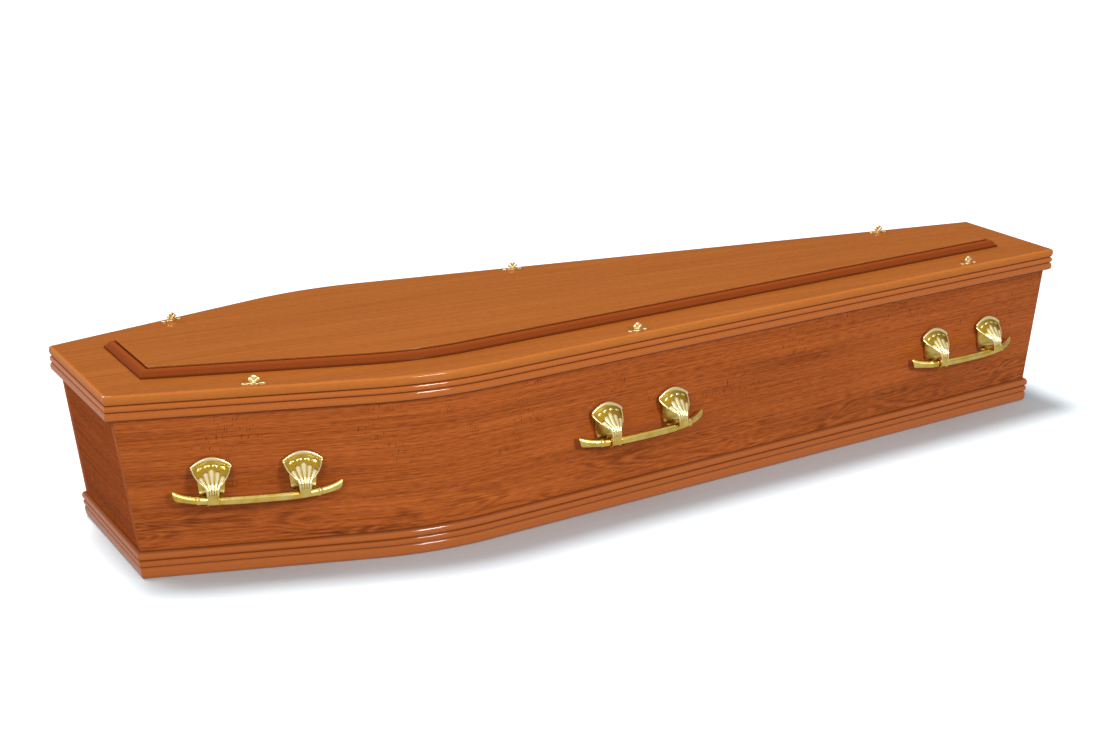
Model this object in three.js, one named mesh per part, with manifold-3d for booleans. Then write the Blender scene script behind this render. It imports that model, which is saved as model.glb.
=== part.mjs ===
// A veneered wooden coffin with a raised lid, reeded mouldings, six bar handles and six thumbscrews.
// Millimetres. +X runs from the head end to the foot end, +Z is up, -Y is the right-hand side.
// The origin is under the middle of the coffin, on the surface it stands on.

import * as THREE from 'three';
import { mergeVertices } from 'three/addons/utils/BufferGeometryUtils.js';
import Module from 'manifold-3d';

// Lid outline in plan, measured over the edge moulding, before the shoulders are rounded
const lidLength = 1980;
const headWidth = 311;
const shoulderWidth = 594;
const footWidth = 269;
const shoulderFromHead = 513;
const shoulderRadius = 575;
const shoulderSteps = 7;

// Heights above the floor
const plinthHeight = 46;
const lidTop = 318;
const lidBoard = 17;
const lidMouldingDrop = 43.5;
const sideTop = lidTop - lidBoard - 0.3;

// Boards
const boardThickness = 16;
const baseThickness = 15;
const jointGap = 0.3;

// The board faces stand inside the lid's outline, by these insets at their top edge. All four
// lean in towards the bottom, the two ends much more than the sides.
const wallInset = { head: 11.5, side: 11.5, foot: 9 };
const endLean = 0.137;
const sideLean = 0.016;

// Raised panel on the lid; a mitred frame moulding climbs up to it from the lid all round
const panelMargin = { head: 79, side: 76, foot: 90 };
const frameWidth = 16.5;
const frameHeight = 12.8;
const panelHeight = 15.6;

// Thumbscrews, in line with the handles; each is centred this far in from the lid's outline
const screwFromHead = [233, 932, 1750];
const screwInset = 16;
const plateThickness = 1.8;

// Handles: distance from the lid's head end, height of the bar's middle line, and main sizes
const handleFromHead = [231, 934, 1734];
const barHeight = 139;
const bracketSpacing = 148;
const barLength = 268;
const barMiddleStandOff = 37;
const barTipStandOff = 8;

// Colours of the finishes
const materials = {
  lacqueredVeneer: { color: 0xa4531f, roughness: 0.25, metalness: 0 },
  lacqueredMoulding: { color: 0xb5622a, roughness: 0.25, metalness: 0 },
  bareBoard: { color: 0x9c6a3f, roughness: 0.7, metalness: 0 },
  brassPlate: { color: 0xdcc27a, roughness: 0.22, metalness: 1 },
};

const coffin = new THREE.Group();
const wasm = await Module();
wasm.setup();

function addPiece(name, geometry, finish, parent = coffin) {
  const mesh = new THREE.Mesh(geometry, new THREE.MeshStandardMaterial(materials[finish]));
  mesh.name = name;
  parent.add(mesh);
  return mesh;
}

// Solid joins and cuts

function toSolid(geometry) {
  const bare = geometry.clone();
  bare.deleteAttribute('normal');
  bare.deleteAttribute('uv');
  const merged = mergeVertices(bare, 1e-4);
  const vertProperties = new Float32Array(merged.attributes.position.array);
  const triVerts = new Uint32Array(merged.index.array);
  return new wasm.Manifold(new wasm.Mesh({ numProp: 3, vertProperties, triVerts }));
}

function toGeometry(solid) {
  const mesh = solid.getMesh();
  const geometry = new THREE.BufferGeometry();
  geometry.setAttribute('position', new THREE.BufferAttribute(mesh.vertProperties, 3));
  geometry.setIndex(new THREE.BufferAttribute(mesh.triVerts, 1));
  geometry.computeVertexNormals();
  return geometry;
}

// A closed solid through rings of points. Every ring has the same number of points, and
// capPlan is the ring's shape in two dimensions, used to close the first and the last ring.
function loft(rings, capPlan) {
  const count = rings[0].length;
  const position = rings.flat().flatMap((point) => [point.x, point.y, point.z]);
  const index = [];
  for (let ring = 0; ring < rings.length - 1; ring += 1) {
    for (let i = 0; i < count; i += 1) {
      const a = ring * count + i;
      const b = ring * count + ((i + 1) % count);
      index.push(a, b, a + count, b, b + count, a + count);
    }
  }
  const last = (rings.length - 1) * count;
  const capIsClockwise = THREE.ShapeUtils.isClockWise(capPlan);
  for (const [i, j, k] of THREE.ShapeUtils.triangulateShape(capPlan, [])) {
    const [p, q] = capIsClockwise ? [j, k] : [k, j];
    index.push(i, p, q, last + i, last + q, last + p);
  }
  return outwards(position, index);
}

// Turns all the faces over where they point inwards
function outwards(position, index) {
  let volume = 0;
  const corner = [0, 1, 2].map(() => new THREE.Vector3());
  for (let i = 0; i < index.length; i += 3) {
    corner.forEach((point, k) => point.fromArray(position, index[i + k] * 3));
    volume += corner[0].dot(corner[1].clone().cross(corner[2]));
  }
  if (volume < 0) {
    index.reverse();
  }
  const geometry = new THREE.BufferGeometry();
  geometry.setAttribute('position', new THREE.Float32BufferAttribute(position, 3));
  geometry.setIndex(index);
  geometry.computeVertexNormals();
  return geometry;
}

// Plan outline

// One half of the lid's outline, on +Y, moved inwards by an inset at the head, side and foot.
// It runs from the head corner, round the shoulder, to the foot corner.
function halfOutline(inset) {
  const head = new THREE.Vector2(-lidLength / 2, headWidth / 2);
  const shoulder = new THREE.Vector2(shoulderFromHead - lidLength / 2, shoulderWidth / 2);
  const foot = new THREE.Vector2(lidLength / 2, footWidth / 2);
  const upper = sideLine(head, shoulder, inset.side);
  const lower = sideLine(shoulder, foot, inset.side);
  const bend = (lower.at0 - upper.at0) / (upper.slope - lower.slope);
  const peak = new THREE.Vector2(bend, upper.at0 + upper.slope * bend);

  const turn = Math.atan(upper.slope) - Math.atan(lower.slope);
  const radius = shoulderRadius - inset.side;
  const tangent = radius * Math.tan(turn / 2);
  const start = Math.atan(upper.slope);
  const centre = new THREE.Vector2(
    peak.x - tangent * Math.cos(start) + radius * Math.sin(start),
    peak.y - tangent * Math.sin(start) - radius * Math.cos(start),
  );

  const headX = -lidLength / 2 + inset.head;
  const footX = lidLength / 2 - inset.foot;
  const points = [new THREE.Vector2(headX, upper.at0 + upper.slope * headX)];
  for (let step = 0; step <= shoulderSteps; step += 1) {
    const angle = Math.PI / 2 + start - (turn * step) / shoulderSteps;
    points.push(new THREE.Vector2(
      centre.x + radius * Math.cos(angle),
      centre.y + radius * Math.sin(angle),
    ));
  }
  points.push(new THREE.Vector2(footX, lower.at0 + lower.slope * footX));
  return points;
}

// A side's line y = at0 + slope * x, moved inwards by a distance square to the line
function sideLine(from, to, inset) {
  const slope = (to.y - from.y) / (to.x - from.x);
  return { slope, at0: from.y - slope * from.x - inset * Math.hypot(1, slope) };
}

const mirrored = (points) => points.map((point) => new THREE.Vector2(point.x, -point.y));

// The whole closed outline
function fullOutline(inset) {
  const half = halfOutline(inset);
  return [...half, ...mirrored(half).reverse()];
}

const evenInset = (inset) => ({ head: inset, side: inset, foot: inset });
const grow = (inset, by) => ({ head: inset.head + by, side: inset.side + by, foot: inset.foot + by });

// Inset of the boards' outer faces at a height
function wallAt(z) {
  const drop = sideTop - z;
  return {
    head: wallInset.head + drop * endLean,
    side: wallInset.side + drop * sideLean,
    foot: wallInset.foot + drop * endLean,
  };
}

// Boards

// A flat board whose edge follows the outline, from an edge profile of [inset, z] pairs
function edgedBoard(margin, edge) {
  const rings = edge.map(([inset, z]) => (
    fullOutline(grow(margin, inset)).map((point) => new THREE.Vector3(point.x, point.y, z))
  ));
  return loft(rings, fullOutline(margin));
}

// A solid between two heights, whose plan outline is given at each height
function column(planAt, z0, z1) {
  const rings = [z0, z1].map((z) => planAt(z).map(({ x, y }) => new THREE.Vector3(x, y, z)));
  return toSolid(loft(rings, planAt(z0)));
}

// Everything between the two leaning ends, moved in by a distance: a long box with leaning ends
function betweenEnds(inward) {
  const low = -10;
  const high = sideTop + 10;
  const bottom = wallAt(low);
  const top = wallAt(high);
  const half = lidLength / 2;
  const profile = new THREE.Shape([
    new THREE.Vector2(-half + bottom.head + inward, low),
    new THREE.Vector2(half - bottom.foot - inward, low),
    new THREE.Vector2(half - top.foot - inward, high),
    new THREE.Vector2(-half + top.head + inward, high),
  ]);
  const geometry = new THREE.ExtrudeGeometry(profile, { depth: shoulderWidth, bevelEnabled: false });
  geometry.rotateX(Math.PI / 2);
  geometry.translate(0, shoulderWidth / 2, 0);
  return toSolid(geometry);
}

function addBoards() {
  const insetAt = (z, inward) => ({ head: 0, side: wallAt(z).side + inward, foot: 0 });
  const strip = (z) => [
    ...halfOutline(insetAt(z, 0)),
    ...halfOutline(insetAt(z, boardThickness)).reverse(),
  ];
  const ends = betweenEnds(0);
  const sides = { left: strip, right: (z) => mirrored(strip(z)) };
  for (const [side, planAt] of Object.entries(sides)) {
    const board = column(planAt, 0, sideTop).intersect(ends);
    addPiece(`side_board_${side}`, toGeometry(board), 'lacqueredVeneer');
  }

  // The end boards stand between the side boards, and the base lies inside all four
  const hollow = (z) => fullOutline(insetAt(z, boardThickness + jointGap));
  const insideEnds = betweenEnds(boardThickness);
  const endBoards = column(hollow, 0, sideTop).intersect(ends).subtract(insideEnds);
  const half = shoulderWidth / 2;
  const headHalf = column(() => [
    new THREE.Vector2(-lidLength, -half),
    new THREE.Vector2(0, -half),
    new THREE.Vector2(0, half),
    new THREE.Vector2(-lidLength, half),
  ], -10, lidTop);
  addPiece('head_board', toGeometry(endBoards.intersect(headHalf)), 'lacqueredVeneer');
  addPiece('foot_board', toGeometry(endBoards.subtract(headHalf)), 'lacqueredVeneer');

  const insideJoint = betweenEnds(boardThickness + jointGap);
  const base = column(hollow, 0, baseThickness).intersect(insideJoint);
  addPiece('base_board', toGeometry(base), 'bareBoard');
}

// Mouldings

// A profile point that stands proud of a face, whose inset at each height is given by faceAt
const proudOf = (faceAt) => ([proud, z]) => ({ inset: grow(faceAt(z), -proud), z });

// Four mitred lengths of one moulding, through a closed profile of points with an inset and a height
function addMouldings(name, profile) {
  const capPlan = profile.map(({ inset, z }) => new THREE.Vector2(-inset.side, z));
  const lines = profile.map(({ inset }) => halfOutline(inset));
  const mitreGap = 0.2;
  const ringAt = (station, side, shiftX, shiftY) => profile.map(({ z }, i) => {
    const { x, y } = lines[i].at(station);
    return new THREE.Vector3(x + shiftX, side * (y - shiftY), z);
  });

  const last = lines[0].length - 1;
  for (const [hand, side] of Object.entries({ left: 1, right: -1 })) {
    const rings = lines[0].map((_, station) => {
      const shiftX = { 0: mitreGap, [last]: -mitreGap }[station] ?? 0;
      return ringAt(station, side, shiftX, 0);
    });
    addPiece(`${name}_${hand}`, loft(rings, capPlan), 'lacqueredMoulding');
  }
  for (const [end, station] of Object.entries({ head: 0, foot: last })) {
    const rings = [1, -1].map((side) => ringAt(station, side, 0, mitreGap));
    addPiece(`${name}_${end}`, loft(rings, capPlan), 'lacqueredMoulding');
  }
}

// A half-round bead between two heights, as [proud, z] pairs from its top to its bottom
function bead(root, crest, top, bottom, steps = 4) {
  const pairs = [];
  for (let step = 0; step <= steps; step += 1) {
    const angle = (Math.PI * step) / steps;
    const z = (top + bottom) / 2 + ((top - bottom) / 2) * Math.cos(angle);
    pairs.push([root + (crest - root) * Math.sin(angle), z]);
  }
  return pairs;
}

// Skirting round the foot of the boards: a broad bead with a sloping top, over two reeds
function addPlinth() {
  const upperGroove = 30.3;
  const lowerGroove = 18.9;
  const root = 4.6;
  const crest = 7.4;
  const profile = [
    [jointGap, plinthHeight],
    [3, plinthHeight - 0.8],
    [6, plinthHeight - 3.6],
    [crest, plinthHeight - 7],
    [crest, upperGroove + 4],
    ...bead(root, crest, upperGroove, lowerGroove),
    [crest - 0.5, lowerGroove - 3.2],
    [crest, lowerGroove - 8],
    [crest - 0.3, 3],
    [crest - 2, 0],
    [jointGap, 0],
  ];
  addMouldings('plinth', profile.map(proudOf(wallAt)));
}

// The lid board has a rounded edge, and a two-reed moulding hangs under it, round the boards
function addLid() {
  const under = lidTop - lidBoard;
  const edge = [
    [4, under],
    [2.6, under + 1.4],
    [0.9, under + 4.4],
    [0, under + 9.5],
    [0.5, under + 13.3],
    [2.2, under + 15.9],
    [5.5, lidTop],
  ];
  addPiece('lid_board', edgedBoard(evenInset(0), edge), 'lacqueredVeneer');

  const top = under - jointGap;
  const groove = lidTop - 28.8;
  const bottom = lidTop - lidMouldingDrop;
  const root = -4;
  const crest = -0.5;
  const reeds = [...bead(root, crest, top, groove), ...bead(root, crest, groove, bottom).slice(1)];
  const back = grow(wallInset, -1);
  addMouldings('lid_moulding', [
    { inset: back, z: top },
    ...reeds.map(proudOf(() => evenInset(0))),
    { inset: back, z: bottom },
  ]);
}

// A second board on the lid. Its frame moulding has a low step and a hollow outside, then an
// edge and a flatter slope up to the panel, with a narrow groove between the two.
function addRaisedPanel() {
  const z0 = lidTop + jointGap;
  const panelEdge = frameWidth + 0.9;
  const edge = [
    [panelEdge, z0],
    [panelEdge, lidTop + panelHeight - 1.2],
    [panelEdge + 1.4, lidTop + panelHeight],
  ];
  addPiece('raised_panel', edgedBoard(panelMargin, edge), 'lacqueredVeneer');

  const section = [
    [0, 0],
    [0, 2.4],
    [0.9, 3.6],
    [2.6, 4.3],
    [4.4, 5.8],
    [6, 8.3],
    [8, 10.9],
    [10.5, 12.2],
    [13, frameHeight],
    [15, 12.2],
    [frameWidth, 10.4],
    [frameWidth, 0],
  ];
  addMouldings('panel_frame', section.map(([inset, rise]) => ({
    inset: grow(panelMargin, inset),
    z: z0 + rise,
  })));
}

// Places along the sides

// The point on a side at a distance from the head end, moved in from the lid's outline, with
// the turn about Z that points a fitting's front, its -Y, square out of the side
function placeOnSide(fromHead, inset, side) {
  const line = halfOutline({ head: 0, side: inset, foot: 0 });
  const x = fromHead - lidLength / 2;
  const next = line.findIndex((point) => point.x > x);
  const along = line[next].clone().sub(line[next - 1]);
  const y = line[next - 1].y + (along.y / along.x) * (x - line[next - 1].x);
  const outward = new THREE.Vector2(-along.y, along.x).normalize();
  return {
    position: new THREE.Vector3(x, side * y, 0),
    turn: Math.atan2(outward.x, -side * outward.y),
  };
}

// A group for a fitting at such a place, tilted back by an angle so that it lies on its board
function addAtSide(place, z, tilt) {
  const fitting = new THREE.Group();
  fitting.position.set(place.position.x, place.position.y, z);
  fitting.rotation.set(tilt, 0, place.turn, 'ZYX');
  coffin.add(fitting);
  return fitting;
}

// Thumbscrews

// A slim plate with round ends, narrow necks and a wider middle
function makeScrewPlate() {
  const endRadius = 4;
  const endX = 16;
  const neck = { x: 9.5, y: 2.3 };
  const shape = new THREE.Shape();
  shape.moveTo(-endX, -endRadius);
  shape.quadraticCurveTo(-12.5, -neck.y, -neck.x, -neck.y);
  shape.quadraticCurveTo(0, -8, neck.x, -neck.y);
  shape.quadraticCurveTo(12.5, -neck.y, endX, -endRadius);
  shape.absarc(endX, 0, endRadius, -Math.PI / 2, Math.PI / 2, false);
  shape.quadraticCurveTo(12.5, neck.y, neck.x, neck.y);
  shape.quadraticCurveTo(0, 8, -neck.x, neck.y);
  shape.quadraticCurveTo(-12.5, neck.y, -endX, endRadius);
  shape.absarc(-endX, 0, endRadius, Math.PI / 2, Math.PI * 1.5, false);
  const options = { depth: plateThickness, bevelEnabled: false, curveSegments: 3 };
  return new THREE.ExtrudeGeometry(shape, options);
}

// A collar and stem, with an upright fan-shaped thumb piece that has a scalloped top
function makeThumbscrew() {
  const profile = [[0, 0], [5, 0], [5, 1.2], [3.2, 2.6], [2.6, 4.6], [0, 4.6]];
  const stem = new THREE.LatheGeometry(profile.map(([x, y]) => new THREE.Vector2(x, y)), 10);
  stem.rotateX(Math.PI / 2);

  const lobes = 5;
  const fan = new THREE.Shape();
  fan.moveTo(2.4, 3.4);
  for (let step = 0; step <= lobes * 2; step += 1) {
    const angle = -0.12 + (Math.PI + 0.24) * (step / (lobes * 2));
    const radius = 7.2 + 0.6 * (step % 2);
    fan.lineTo(radius * Math.cos(angle), 7.2 + radius * 0.92 * Math.sin(angle));
  }
  fan.lineTo(-2.4, 3.4);
  const thickness = 2.6;
  const blade = new THREE.ExtrudeGeometry(fan, { depth: thickness, bevelEnabled: false });
  blade.rotateX(Math.PI / 2);
  blade.translate(0, thickness / 2, 0);
  return toGeometry(toSolid(stem).add(toSolid(blade)));
}

function addThumbscrews() {
  const plate = makeScrewPlate();
  const screw = makeThumbscrew();
  for (const [hand, side] of Object.entries({ left: 1, right: -1 })) {
    screwFromHead.forEach((fromHead, i) => {
      const place = placeOnSide(fromHead, screwInset, side);
      const fitting = addAtSide(place, lidTop + jointGap, 0);
      addPiece(`screw_plate_${hand}_${i + 1}`, plate.clone(), 'brassPlate', fitting);
      const piece = addPiece(`thumbscrew_${hand}_${i + 1}`, screw.clone(), 'brassPlate', fitting);
      piece.position.z = plateThickness + jointGap;
    });
  }
}

// Handles: x runs along the side, -y points out of it and z is measured from the bar's middle line

// The bar's middle line bows out from the side, and drops a little towards the middle
function barLine(x) {
  const share = (2 * x / barLength) ** 2;
  return {
    out: barMiddleStandOff + (barTipStandOff - barMiddleStandOff) * share,
    z: -3 + 3 * share,
    slope: (8 * x * (barTipStandOff - barMiddleStandOff)) / barLength ** 2,
  };
}

// The bar is an oval rod whose ends flare into thin upright tips, cut off at a slant. Clearance
// makes it fatter.
function makeBar(clearance = 0) {
  const sides = 8;
  const tipStart = 96;
  const places = [-1, -0.93, -0.82, -0.68, -0.44, -0.15, 0.15, 0.44, 0.68, 0.82, 0.93, 1];
  const rings = places.map((place) => {
    const x = (place * barLength) / 2;
    const flare = Math.max(0, (Math.abs(x) - tipStart) / (barLength / 2 - tipStart));
    const tall = 6.4 + 3.2 * flare ** 1.3 + clearance;
    const thick = 5.6 - 3.2 * flare + clearance;
    const slant = 0.3 * flare * Math.sign(x);
    const line = barLine(x);
    const length = Math.hypot(1, line.slope);
    return Array.from({ length: sides }, (_, i) => {
      const angle = ((i + 0.5) / sides) * 2 * Math.PI;
      const out = thick * Math.cos(angle);
      const up = tall * Math.sin(angle);
      return new THREE.Vector3(
        x - (line.slope / length) * out + slant * up,
        -line.out - out / length,
        line.z + 2 * flare + up,
      );
    });
  });
  const capPlan = rings[0].map((point) => new THREE.Vector2(point.y, point.z));
  return loft(rings, capPlan);
}

// A bent plate through [out, z, width, thickness, sag] places. The sag lowers its two edges, and
// ribs, if there are any, run up its front and fade out towards its last place.
function bentPlate(places, ribs = 0) {
  const across = ribs ? 2 * ribs : 2;
  const rings = places.map(([out, z, width, thickness, sag], i) => {
    const before = places[Math.max(0, i - 1)];
    const after = places[Math.min(places.length - 1, i + 1)];
    const along = new THREE.Vector2(after[0] - before[0], after[1] - before[1]).normalize();
    const point = (share, offset) => new THREE.Vector3(
      (width / 2) * share,
      -(out + along.y * offset),
      z - along.x * offset - sag * share ** 2,
    );
    const fade = 1 - (i / (places.length - 1)) ** 2;
    const front = Array.from({ length: across + 1 }, (_, k) => {
      const isCrest = ribs > 0 && k % 2 === 1;
      return point((2 * k) / across - 1, thickness / 2 + (isCrest ? 2 * fade + 0.4 : 0));
    });
    return [...front, point(1, -thickness / 2), point(0, -thickness / 2), point(-1, -thickness / 2)];
  });
  const capPlan = rings[0].map((point) => new THREE.Vector2(point.x, -point.y));
  return loft(rings, capPlan);
}

// A bracket: a ribbed fan that leans in to the wall above the bar, a collar round the bar, and
// an arm that goes back from the collar to the wall and turns up behind the fan
function makeBracket(barHole, x) {
  const { out } = barLine(x);
  const fan = bentPlate([
    [out + 6, 3, 20, 4, 0],
    [out + 5.5, 15, 21, 4, 0],
    [out - 1, 29, 36, 3.8, 3],
    [out - 12, 43, 54, 3.6, 8],
    [4.4, 57.5, 65, 4.6, 13.5],
    [3, 61, 64.5, 5, 13.5],
  ], 4);
  const arm = bentPlate([
    [out - 4, -2, 20, 5, 0],
    [15, 0, 34, 5, 1],
    [4.4, 12, 42, 4.8, 2],
    [2.7, 42, 48, 4.2, 3],
  ]);
  const profile = [[0, -10], [11, -10], [9.6, -6.6], [9.6, 6.6], [11, 10], [0, 10]];
  const collar = new THREE.LatheGeometry(profile.map(([r, y]) => new THREE.Vector2(r, y)), 10);
  collar.rotateZ(Math.PI / 2);
  collar.translate(0, -out, -1);
  const hole = barHole.translate([-x, 0, 0]);
  const bracket = toSolid(fan).add(toSolid(arm)).add(toSolid(collar)).subtract(hole);
  return toGeometry(bracket);
}

function addHandles() {
  const bar = makeBar();
  const barHole = toSolid(makeBar(jointGap));
  const bracketAt = [-bracketSpacing / 2, bracketSpacing / 2];
  const brackets = bracketAt.map((x) => makeBracket(barHole, x));
  for (const [hand, side] of Object.entries({ left: 1, right: -1 })) {
    handleFromHead.forEach((fromHead, i) => {
      const place = placeOnSide(fromHead, wallAt(barHeight).side - jointGap, side);
      const handle = addAtSide(place, barHeight, Math.atan(sideLean));
      addPiece(`bar_${hand}_${i + 1}`, bar.clone(), 'brassPlate', handle);
      bracketAt.forEach((x, k) => {
        const name = `bracket_${hand}_${i + 1}${'ab'[k]}`;
        const piece = addPiece(name, brackets[k].clone(), 'brassPlate', handle);
        piece.position.x = x;
      });
    });
  }
}

addBoards();
addPlinth();
addLid();
addRaisedPanel();
addThumbscrews();
addHandles();

export default coffin;
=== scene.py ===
# Dressed model of a veneered coffin: fine mouldings, figured veneer under lacquer, brass fittings
# X runs from head to foot, Z is up, -Y is the right-hand side. Profiles are in millimetres.

import math

import bpy
from mathutils import Euler, Matrix, Vector


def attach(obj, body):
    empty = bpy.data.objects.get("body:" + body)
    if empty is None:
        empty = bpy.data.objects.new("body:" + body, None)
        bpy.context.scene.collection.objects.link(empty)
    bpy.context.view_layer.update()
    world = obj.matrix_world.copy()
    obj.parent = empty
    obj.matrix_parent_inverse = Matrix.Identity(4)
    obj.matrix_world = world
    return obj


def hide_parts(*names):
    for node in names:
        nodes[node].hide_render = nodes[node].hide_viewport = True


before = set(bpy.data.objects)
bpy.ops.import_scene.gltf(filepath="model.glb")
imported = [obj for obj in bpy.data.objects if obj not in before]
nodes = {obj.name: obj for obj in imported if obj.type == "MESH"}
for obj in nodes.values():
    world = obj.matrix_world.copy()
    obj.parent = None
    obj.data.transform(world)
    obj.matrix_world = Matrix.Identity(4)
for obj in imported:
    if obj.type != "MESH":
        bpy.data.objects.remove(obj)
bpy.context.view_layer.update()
mm = 0.001


# camera, at the photograph's viewing angle

cameraPlace = {
    "location": (-1.8148, -3.0880, 1.3213),
    "angles": (72.2037, -0.3209, -28.8230),
    "lens": 65.70,
    "sensor": 36,
    "farthest": 60,
}
bpy.ops.object.camera_add(
    location=cameraPlace["location"],
    rotation=[math.radians(angle) for angle in cameraPlace["angles"]],
)
camera = bpy.context.object
camera.data.lens = cameraPlace["lens"]
camera.data.sensor_width = cameraPlace["sensor"]
camera.data.clip_end = cameraPlace["farthest"]
bpy.context.scene.camera = camera
print("camera placed")


# small helpers

def deselectAll():
    for item in bpy.context.selected_objects:
        item.select_set(False)


def makeActive(piece):
    deselectAll()
    piece.select_set(True)
    bpy.context.view_layer.objects.active = piece


def enterEdit(piece):
    makeActive(piece)
    bpy.ops.object.mode_set(mode="EDIT")


def enterEditAll(piece):
    enterEdit(piece)
    bpy.ops.mesh.select_all(action="SELECT")


def leaveEdit():
    bpy.ops.object.mode_set(mode="OBJECT")


def pullOut(step):
    bpy.ops.mesh.extrude_region_move(TRANSFORM_OT_translate={"value": step})


# names what an operator has just made
def justMade(name):
    bpy.context.object.name = name
    return bpy.context.object


def unpickAll(piece):
    for items in (piece.data.vertices, piece.data.edges, piece.data.polygons):
        for item in items:
            item.select = False


# selects the faces that pass a test, and goes into edit mode with them
def pickFaces(piece, test):
    unpickAll(piece)
    for face in piece.data.polygons:
        face.select = test(face)
    enterEdit(piece)
    bpy.ops.mesh.select_mode(type="FACE")


def pickVertices(piece, indices):
    unpickAll(piece)
    for index in indices:
        piece.data.vertices[index].select = True
    enterEdit(piece)
    bpy.ops.mesh.select_mode(type="VERT")


def applyModifier(piece, kind, **settings):
    makeActive(piece)
    modifier = piece.modifiers.new(kind.title(), kind)
    for name, value in settings.items():
        setattr(modifier, name, value)
    bpy.ops.object.modifier_apply(modifier=modifier.name)


def smooth(piece, angle=35):
    makeActive(piece)
    bpy.ops.object.shade_smooth_by_angle(angle=math.radians(angle))


def tidyNormals(piece):
    enterEditAll(piece)
    bpy.ops.mesh.remove_doubles(threshold=1e-6)
    bpy.ops.mesh.normals_make_consistent(inside=False)
    leaveEdit()


# a face through points in millimetres, made from a circle with as many corners
def outlineFace(name, points):
    deselectAll()
    bpy.ops.mesh.primitive_circle_add(vertices=len(points), radius=0.1, fill_type="NGON")
    piece = justMade(name)
    for vertex, point in zip(piece.data.vertices, points):
        vertex.co = Vector(point) * mm
    return piece


# a turned piece: an outline spun once round an axis, without the outline's own face
def turnedPiece(name, points, centre, axis, steps):
    piece = outlineFace(name, points)
    enterEditAll(piece)
    bpy.ops.mesh.spin(steps=steps, angle=2 * math.pi, center=Vector(centre) * mm, axis=axis)
    bpy.ops.mesh.select_all(action="SELECT")
    bpy.ops.mesh.remove_doubles(threshold=0.02 * mm)
    leaveEdit()
    pickFaces(piece, lambda face: len(face.vertices) > 4)
    bpy.ops.mesh.delete(type="ONLY_FACE")
    leaveEdit()
    tidyNormals(piece)
    return piece


# a copy with its own mesh, moved by a matrix; a mirrored one is turned right side out again
def copyOf(piece, name, matrix):
    copy = piece.copy()
    copy.data = piece.data.copy()
    copy.name = name
    bpy.context.collection.objects.link(copy)
    copy.data.transform(matrix)
    if matrix.determinant() < 0:
        copy.data.flip_normals()
    return copy


# a share t of the way from one point to the next, on a smooth line (Catmull-Rom)
def pointBetween(points, i, t):
    near = (points[max(0, min(len(points) - 1, k))] for k in range(i - 1, i + 3))
    return tuple(
        0.5 * (2 * b + (c - a) * t + (2 * a - 5 * b + 4 * c - d) * t * t
               + (3 * b - a - 3 * c + d) * t ** 3)
        for a, b, c, d in zip(*near)
    )


# how far in and up the steps of a quarter round go, of 1
def quarterRound(steps):
    angles = (math.pi / 2 * k / steps for k in range(1, steps + 1))
    return [(1 - math.cos(angle), math.sin(angle)) for angle in angles]


def smoothLine(points, steps=4):
    line = [pointBetween(points, i, step / steps)
            for i in range(len(points) - 1) for step in range(steps)]
    return line + [tuple(points[-1])]


def placePiece(piece, replaced, material):
    piece.data.materials.clear()
    piece.data.materials.append(material)
    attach(piece, "root")
    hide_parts(*replaced)


# the coffin's plan, as in the solids: two straight runs a side and a bent shoulder between them

plan = {
    "length": 1980,
    "headWidth": 311,
    "shoulderWidth": 594,
    "footWidth": 269,
    "shoulderFromHead": 513,
    "shoulderRadius": 575,
    "sideTop": 300.7,
    "wallInset": {"head": 11.5, "side": 11.5, "foot": 9},
    "endLean": 0.137,
    "sideLean": 0.016,
    "arcSteps": 26,
    "headReach": 620,     # lengths that are long enough to be cut at the mitres
    "footReach": 1500,
    "endReach": 330,
    "smoothAngle": 40,
}
halfLength = plan["length"] / 2
headSlope = (plan["shoulderWidth"] - plan["headWidth"]) / 2 / plan["shoulderFromHead"]
footSlope = (
    (plan["footWidth"] - plan["shoulderWidth"]) / 2 / (plan["length"] - plan["shoulderFromHead"])
)
headAngle = math.atan(headSlope)
footAngle = math.atan(footSlope)
bendAngle = headAngle - footAngle
shoulderX = plan["shoulderFromHead"] - halfLength
tangentLength = plan["shoulderRadius"] * math.tan(bendAngle / 2)
bendCentre = Vector((
    shoulderX - tangentLength * math.cos(headAngle) + plan["shoulderRadius"] * math.sin(headAngle),
    plan["shoulderWidth"] / 2 - tangentLength * math.sin(headAngle)
    - plan["shoulderRadius"] * math.cos(headAngle),
))


def wallAt(z):
    drop = plan["sideTop"] - z
    return {
        "head": plan["wallInset"]["head"] + drop * plan["endLean"],
        "side": plan["wallInset"]["side"] + drop * plan["sideLean"],
        "foot": plan["wallInset"]["foot"] + drop * plan["endLean"],
    }


# the y, at x, of a side's straight line moved inwards square to itself
def sideLine(slope, x, inset):
    return plan["shoulderWidth"] / 2 + slope * (x - shoulderX) - inset * math.hypot(1, slope)


# one half of the outline with its insets, from the head corner to the foot corner
def halfOutline(head, side, foot):
    x0, x1 = head - halfLength, halfLength - foot
    radius = plan["shoulderRadius"] - side
    points = [(x0, sideLine(headSlope, x0, side))]
    for step in range(plan["arcSteps"] + 1):
        angle = math.pi / 2 + headAngle - bendAngle * step / plan["arcSteps"]
        arm = radius * math.cos(angle), radius * math.sin(angle)
        points.append((bendCentre.x + arm[0], bendCentre.y + arm[1]))
    return points + [(x1, sideLine(footSlope, x1, side))]


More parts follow.
